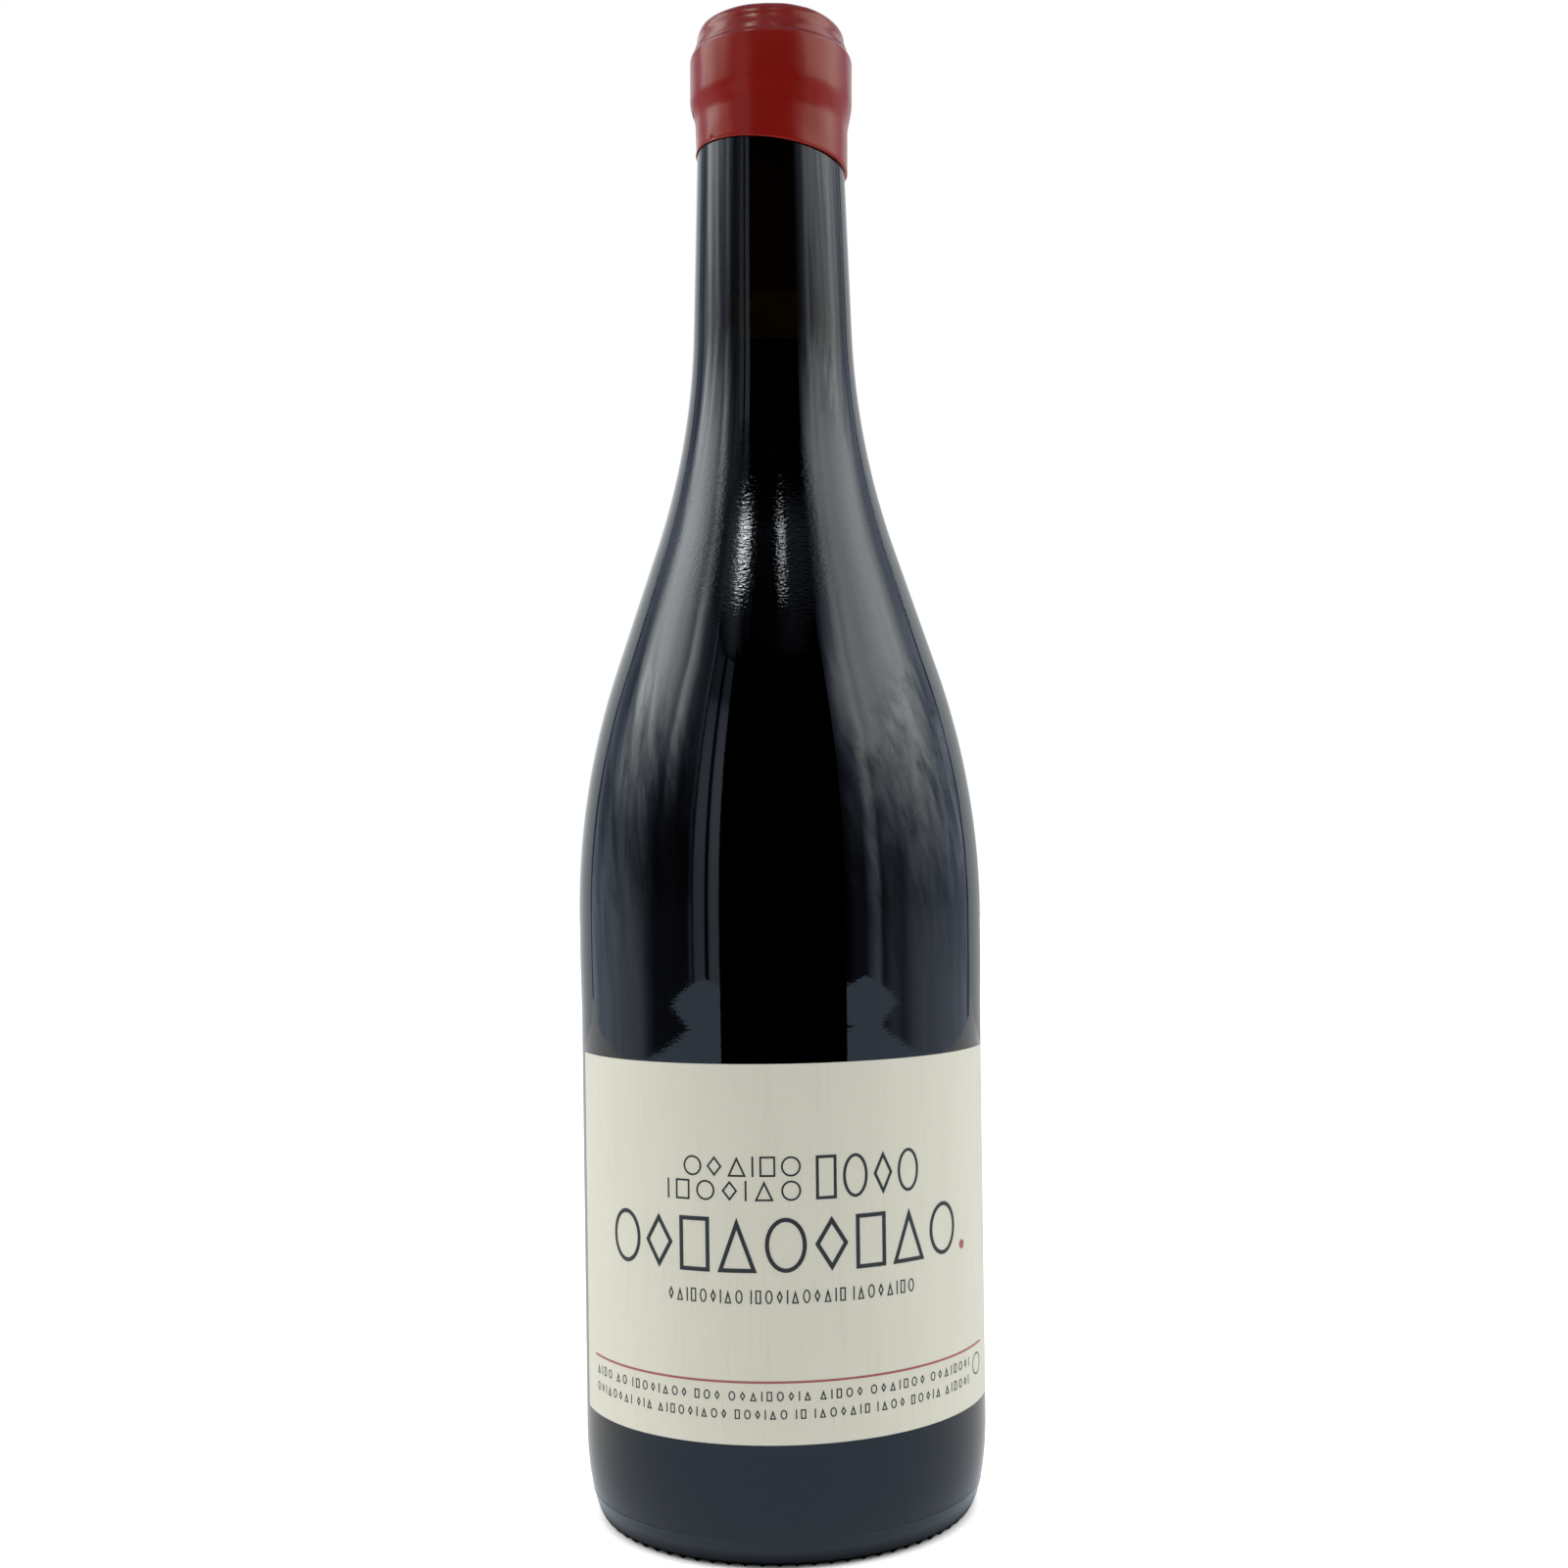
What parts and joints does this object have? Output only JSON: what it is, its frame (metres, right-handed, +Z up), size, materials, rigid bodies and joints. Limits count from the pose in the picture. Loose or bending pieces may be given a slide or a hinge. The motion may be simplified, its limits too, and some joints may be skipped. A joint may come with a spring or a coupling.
{
  "type": "wine bottle",
  "caption": "Full wine bottle of dark glass with sloping shoulders, a punted and knurled base, a cork, a dipped red wax seal and a plain paper label.",
  "frame": {"origin": "centre of the base, on the surface the bottle stands on", "axes": "+Z up along the bottle's axis, -Y out of the middle of the label, +X to the right of someone who reads the label"},
  "size_m": [0.0806, 0.0806, 0.2976],
  "materials": {
    "dark_glass": "very dark olive-green bottle glass, smooth and glossy, with the faint waves of blown glass",
    "red_wine": "deep red wine, almost black in this depth, still and glossy",
    "cork": "natural cork, matt, with fine dark pores",
    "red_wax": "dipped sealing wax, deep red, satin gloss with soft waves",
    "label_paper": "uncoated cream laid paper with fine upright ribs"
  },
  "bodies": {
    "root": {"glass_bottle": "dark_glass", "wine": "red_wine", "cork": "cork", "wax_seal": "red_wax", "paper_label": "label_paper"}
  },
  "joints": []
}
